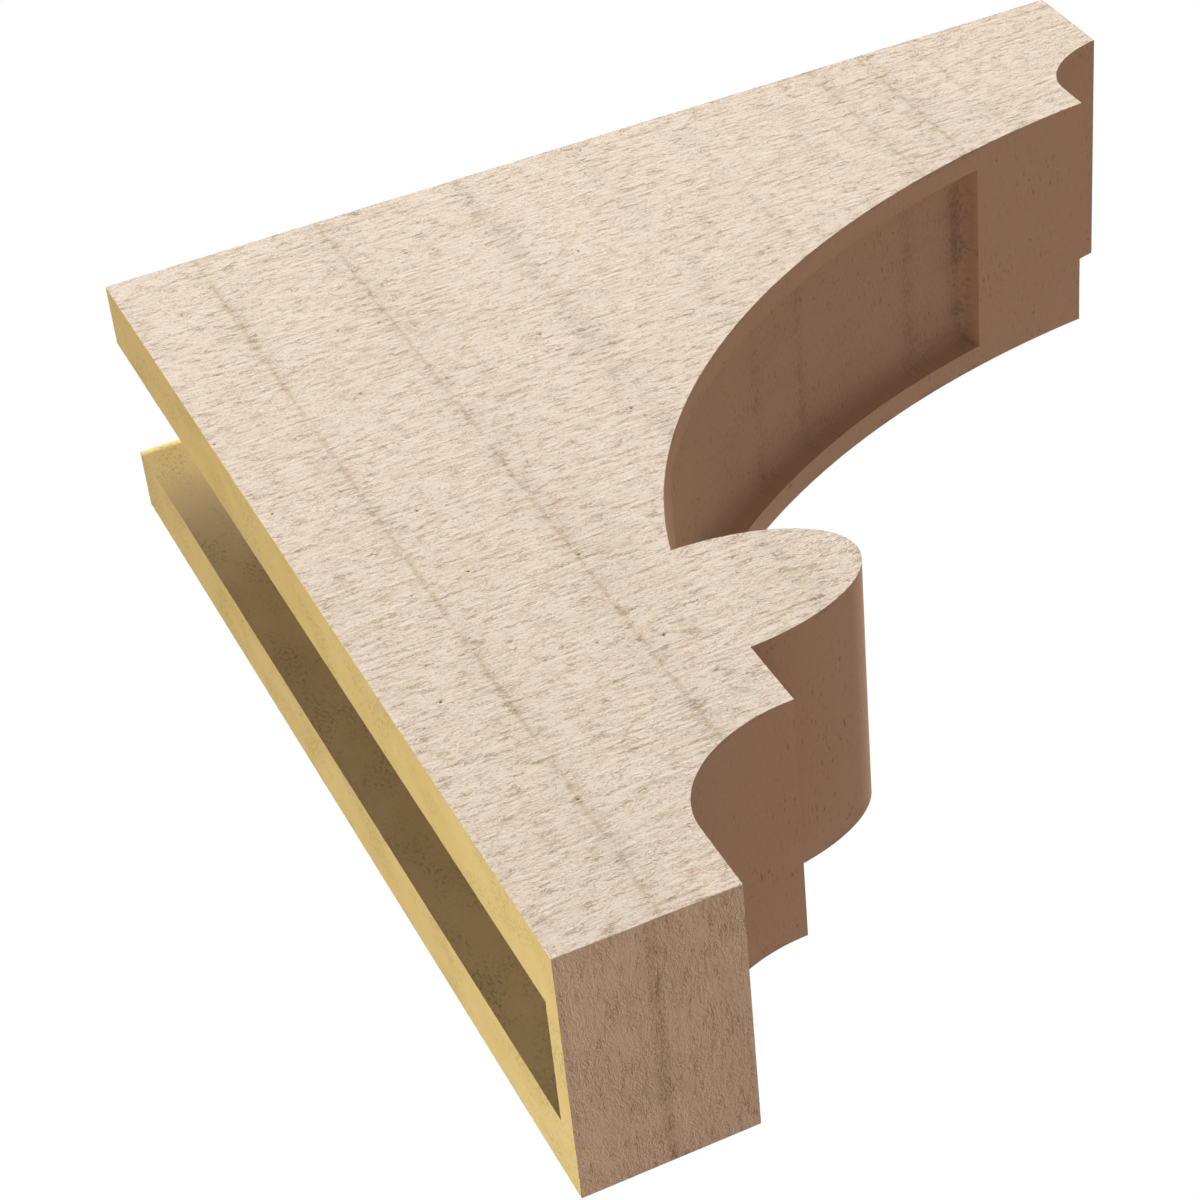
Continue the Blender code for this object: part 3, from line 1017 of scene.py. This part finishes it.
def foam_finish(name, pale, deep, top_tint, cell, share):
    """Foam with shaded open cells, as many as the share says, and a painted light tint at the top."""
    material, tree, shader, place = finish_material(name, roughness=0.85)
    mottle = group_node(tree, mottle_group, Place=place, Size_Along=25.0 * MM, Size_Across=35.0 * MM)
    cells = noise(tree, place, 1.1 * MM, 2.0 * MM, 3.0, 0.7)
    clusters = noise(tree, place, 12.0 * MM, 30.0 * MM, 3.0, 0.6)
    clusters = eased(tree, clusters, 0.42, 0.64, 0.1, 1.0)
    cells = times(tree, eased(tree, cells, 0.52, 0.36), clusters)
    tone = blend_colours(tree, mottle.outputs["Factor"], pale, deep)
    level = put(tree, "ShaderNodeTexCoord").outputs["Object"]
    level = put(tree, "ShaderNodeSeparateXYZ", {0: level}).outputs["Z"]
    # Painted light: a darker, more orange tone towards the open top, where light falls into the hollow.
    tone = blend_colours(tree, eased(tree, level, TOP - TOP_LIGHT_TINT_REACH, TOP), tone, top_tint)
    # Painted shade in the open cells.
    tone = blend_colours(tree, times(tree, cells, share), tone, cell)
    tree.links.new(tone, shader.inputs["Base Color"])
    bumped(tree, shader, times(tree, cells, -0.15), 1.0 * MM)
    return material


bare_foam = foam_finish("bare_foam", FOAM_PALE, FOAM_DEEP, FOAM_PALE, FOAM_CELL, share=0.65)
inner_foam = foam_finish("inner_foam", INNER_PALE, INNER_DEEP, INNER_TOP_LIGHT_TINT, INNER_CELL, share=0.55)
print("foam:", bare_foam.name, "and", inner_foam.name)

# %% [markdown]
# ## Carving the relief with Geometry Nodes
#
# The relief follows a rule over the whole surface, which is what Geometry Nodes are for. It could be
# sculpted by hand or left to the materials, but then it couldn't be changed by a value, or the mesh
# would stay plain outside Blender. Noise that is drawn out along the grain makes the saw marks, and
# coarser noise makes the crumbs inside the bands. The points only ever move inwards, along their
# normal, so the corbel keeps the size of its solid. How crumbly each point is in the end is stored
# for the materials, so that relief and colour agree. The tree also gives each face its finish, so
# one tree dresses the whole piece.

# %% The relief tree
RELIEF = {
    "Mark Depth": 0.25 * MM,
    "Mark Length": 45.0 * MM,
    "Mark Spacing": 5.0 * MM,
    "Crumb Depth": 0.14 * MM,
    "Crumb Size": 2.9 * MM,
    "Sag Depth": 0.05 * MM,
    "Sag Size": 32.0 * MM,
}
CRUMB_STRETCH = 1.7
CRUMBS_OUTSIDE_BANDS = 0.10
FINISHES = {
    "Side": sawn_side,
    "Underside": sawn_underside,
    "Front": smooth_front,
    "Rim": bare_foam,
    "Inside": inner_foam,
}

inputs = {"Geometry": ("NodeSocketGeometry", None)}
inputs.update({label: ("NodeSocketFloat", value) for label, value in RELIEF.items()})
inputs.update({label: ("NodeSocketMaterial", None) for label in FINISHES})
relief_tree, given, result = new_group(
    "saw relief", "GeometryNodeTree", inputs, {"Geometry": "NodeSocketGeometry"}
)


def stored(tree, name, kind="FLOAT"):
    """A value that the mesh carries, read by the relief tree."""
    return put(tree, "GeometryNodeInputNamedAttribute", {"Name": name}, data_type=kind).outputs["Attribute"]


def keep(tree, geometry, name, value):
    """The geometry with a value stored at each of its points."""
    sockets = {"Geometry": geometry, "Name": name, "Value": value}
    settings = {"data_type": "FLOAT", "domain": "POINT"}
    return put(tree, "GeometryNodeStoreNamedAttribute", sockets, **settings).outputs[0]


def spread(tree, value):
    """Noise brought from about 0.25 to 0.75 to the range from 0 to 1."""
    return eased(tree, value, 0.25, 0.75)


tree = relief_tree
place = stored(tree, "place", "FLOAT_VECTOR")
amount = stored(tree, "amount")
crumble = stored(tree, "crumble")
marks = noise(tree, place, given["Mark Length"], given["Mark Spacing"], 3.0, 0.6, 0.1)
marks = times(tree, spread(tree, marks), given["Mark Depth"])
crumb_length = times(tree, given["Crumb Size"], CRUMB_STRETCH)
crumbs = noise(tree, place, crumb_length, given["Crumb Size"], 3.0, 0.6, 0.4)
crumbs = eased(tree, crumbs, 0.46, 0.72)
patchy = noise(tree, place, 16.0 * MM, 34.0 * MM, 2.0, 0.6)
patchy = times(tree, crumble, eased(tree, patchy, 0.4, 0.64, 0.45, 1.0))
crumbs = times(tree, crumbs, sum_of(tree, "ADD", patchy, CRUMBS_OUTSIDE_BANDS))
crumbs = times(tree, crumbs, given["Crumb Depth"])
sag = noise(tree, place, given["Sag Size"], given["Sag Size"], 1.0)
sag = times(tree, spread(tree, sag), given["Sag Depth"])
relief = sum_of(tree, "ADD", sum_of(tree, "ADD", marks, crumbs), sag)
relief = sum_of(tree, "MULTIPLY_ADD", relief, amount, stored(tree, "pit"))
outwards = put(tree, "GeometryNodeInputNormal").outputs[0]
back = times(tree, relief, -1.0)
inwards = put(tree, "ShaderNodeVectorMath", {0: outwards, "Scale": back}, operation="SCALE").outputs[0]
kept = keep(tree, given["Geometry"], "relief", relief)
kept = keep(tree, kept, "crumble", patchy)
carved = put(tree, "GeometryNodeSetPosition", {"Geometry": kept, "Offset": inwards}).outputs[0]
carved = put(tree, "GeometryNodeRealizeInstances", {"Geometry": carved}).outputs[0]
finish = stored(tree, "finish", "INT")
for number, label in enumerate(FINISHES):
    # The first finish covers the whole corbel, and the others replace it where they belong.
    shows = put(tree, "FunctionNodeCompare", data_type="INT", operation="GREATER_EQUAL")
    tree.links.new(finish, shows.inputs[2])
    shows.inputs[3].default_value = number
    sockets = {"Geometry": carved, "Selection": shows.outputs[0], "Material": given[label]}
    carved = put(tree, "GeometryNodeSetMaterial", sockets).outputs[0]
tree.links.new(carved, result["Geometry"])

# %% Carve, and keep the result as a plain mesh
modifier = corbel.modifiers.new("saw relief", "NODES")
modifier.node_group = relief_tree
for item in relief_tree.interface.items_tree:
    if item.in_out == "INPUT" and item.name in RELIEF:
        modifier[item.identifier] = RELIEF[item.name]
    if item.in_out == "INPUT" and item.name in FINISHES:
        modifier[item.identifier] = FINISHES[item.name]
carved_mesh = bpy.data.meshes.new_from_object(corbel.evaluated_get(bpy.context.evaluated_depsgraph_get()))
corbel.modifiers.clear()
corbel.data = carved_mesh
depths = np.empty(len(carved_mesh.vertices), np.float32)
carved_mesh.attributes["relief"].data.foreach_get("value", depths)
print("relief from", round(depths.min() / MM, 2), "to", round(depths.max() / MM, 2), "mm")
print("materials:", [slot and slot.name for slot in carved_mesh.materials])

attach(corbel, "root")
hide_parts("corbel_body")

# %% [markdown]
# ## The floor
#
# The photo shows the corbel from below and behind, where a floor would be in the way. So the floor
# shows from above only: its underside is clear. It takes shadows, but throws no light back on the
# corbel. It glows faintly, so that it stays pale where the lamps don't reach.

# %% The floor
FLOOR_GAP = 0.5 * MM
FLOOR_SIZE = 20.0

floor_mesh = bpy.data.meshes.new("floor")
work = bmesh.new()
bmesh.ops.create_grid(work, x_segments=1, y_segments=1, size=FLOOR_SIZE / 2)
work.to_mesh(floor_mesh)
work.free()
floor = bpy.data.objects.new("floor", floor_mesh)
floor.location = (0.0, 0.0, lowest.z - FLOOR_GAP)
bpy.context.scene.collection.objects.link(floor)
floor.visible_diffuse = False
floor.visible_glossy = False
floor.visible_shadow = False
floor_paint = bpy.data.materials.new("floor_paint")
floor_paint.use_nodes = True
tree = floor_paint.node_tree
shader = tree.nodes["Principled BSDF"]
shader.inputs["Base Color"].default_value = (0.21, 0.21, 0.21, 1.0)
shader.inputs["Roughness"].default_value = 0.9
shader.inputs["Specular IOR Level"].default_value = 0.0
shader.inputs["Emission Color"].default_value = (0.55, 0.55, 0.55, 1.0)
shader.inputs["Emission Strength"].default_value = 1.0
behind = put(tree, "ShaderNodeNewGeometry").outputs["Backfacing"]
clear = put(tree, "ShaderNodeBsdfTransparent").outputs[0]
either = put(tree, "ShaderNodeMixShader", {0: behind, 1: shader.outputs[0], 2: clear})
tree.links.new(either.outputs[0], tree.nodes["Material Output"].inputs["Surface"])
floor_mesh.materials.append(floor_paint)
floor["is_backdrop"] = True
print("floor", FLOOR_SIZE, "m wide, at", round(floor.location.z / MM, 2), "mm")

# %% [markdown]
# ## The light
#
# Two lamps light the side that is seen. One faces it, for an even tone, and one stands higher, so
# that the marks throw small shadows. Both stand just in front of the plane of the back, so their
# light misses the back rim and the hollow. A small lamp behind and below lights the rims and the
# underside. A front lamp and one at the other side serve the views from there. The fronts that the
# photo shows get the soft light of the room alone. It is brighter from one side, so that the curves
# keep their form. One large soft lamp would be simpler, but it would hide the marks of the saw.

# %% The room and the lamps
ROOM_LIGHT = (0.402, 0.320, 0.270, 1.0)
ROOM_LEAN = (0.62, 0.20, 0.0)
LAMPS = {
    # Place, width, height, watts, colour
    "side lamp": ((-2.8, -0.06, 0.50), 0.06, 0.2, 142.0, (0.68, 0.845, 0.97)),
    "upper side lamp": ((-2.2, -0.06, 2.30), 0.06, 2.6, 123.0, (0.68, 0.845, 0.99)),
    "rear lamp": ((0.03, 0.78, -0.32), 0.06, 0.06, 4.95, (0.90, 1.0, 0.965)),
    "front lamp": ((0.3, -2.0, 1.42), 0.4, 0.4, 36.0, (1.0, 0.97, 0.83)),
    "other side lamp": ((2.0, -0.06, 0.8), 0.5, 0.5, 95.0, (0.74, 0.90, 1.0)),
}

world = bpy.data.worlds.new("room")
world.use_nodes = True
tree = world.node_tree
towards = put(tree, "ShaderNodeTexCoord").outputs["Generated"]
lean = put(tree, "ShaderNodeVectorMath", {0: towards, 1: ROOM_LEAN}, operation="DOT_PRODUCT").outputs["Value"]
brightness = sum_of(tree, "ADD", lean, 1.0)
room = put(tree, "ShaderNodeBackground", {"Color": ROOM_LIGHT, "Strength": brightness}).outputs[0]
seen = put(tree, "ShaderNodeBackground", {"Color": (1.0, 1.0, 1.0, 1.0), "Strength": 1.0}).outputs[0]
camera_ray = put(tree, "ShaderNodeLightPath").outputs["Is Camera Ray"]
mixed = put(tree, "ShaderNodeMixShader", {0: camera_ray, 1: room, 2: seen})
tree.links.new(mixed.outputs[0], tree.nodes["World Output"].inputs["Surface"])
bpy.context.scene.world = world

middle = Vector((0.0, -DEPTH / 2, TOP - HEIGHT / 2))
for name, (place, width, height, watts, colour) in LAMPS.items():
    light = bpy.data.lights.new(name, "AREA")
    light.shape = "RECTANGLE"
    light.size = width
    light.size_y = height
    light.energy = watts
    light.color = colour
    lamp = bpy.data.objects.new(name, light)
    lamp.location = place
    lamp.rotation_euler = (middle - Vector(place)).to_track_quat("-Z", "Y").to_euler()
    lamp.visible_camera = False
    bpy.context.scene.collection.objects.link(lamp)
bpy.context.scene.view_settings.view_transform = "Standard"
print("lamps:", ", ".join(LAMPS))

# %% [markdown]
# ## The camera
#
# The camera was fitted to the corners and edges of the corbel in the photo. It looks up from below
# and behind through a long lens, and it is rolled, so that the near side faces up in the picture.
# The small shift is the photo's own framing.

# %% The camera
CAMERA_PLACE = Vector((-0.697358, 0.213576, -0.624517))
CAMERA_AHEAD = Vector((0.616368, -0.311349, 0.723293))
CAMERA_UP = Vector((-0.784735, -0.319186, 0.531330))
CAMERA_LENS = 96.935
CAMERA_SHIFT = (-0.0765, -0.0244)

camera_data = bpy.data.cameras.new("camera")
camera_data.lens = CAMERA_LENS
camera_data.sensor_width = 36.0
camera_data.clip_start = 0.01
camera_data.shift_x, camera_data.shift_y = CAMERA_SHIFT
camera = bpy.data.objects.new("camera", camera_data)
camera.location = CAMERA_PLACE
right = CAMERA_AHEAD.cross(CAMERA_UP)
camera.rotation_euler = Matrix((right, CAMERA_UP, -CAMERA_AHEAD)).transposed().to_euler()
bpy.context.scene.collection.objects.link(camera)
bpy.context.scene.camera = camera
print("camera", round((CAMERA_PLACE - middle).length, 2), "m from the middle of the corbel")

# %% [markdown]
# ## Both sizes
#
# The dressed corbel has to keep the size of its solid, so both sizes are printed.

# %% Print both sizes
dressed_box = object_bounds()
sizes = {"cad": [list(corner) for corner in cad_box], "visual": [list(corner) for corner in dressed_box]}
for label, (low, high) in sizes.items():
    print(label, [round((b - a) / MM, 2) for a, b in zip(low, high)], "mm")
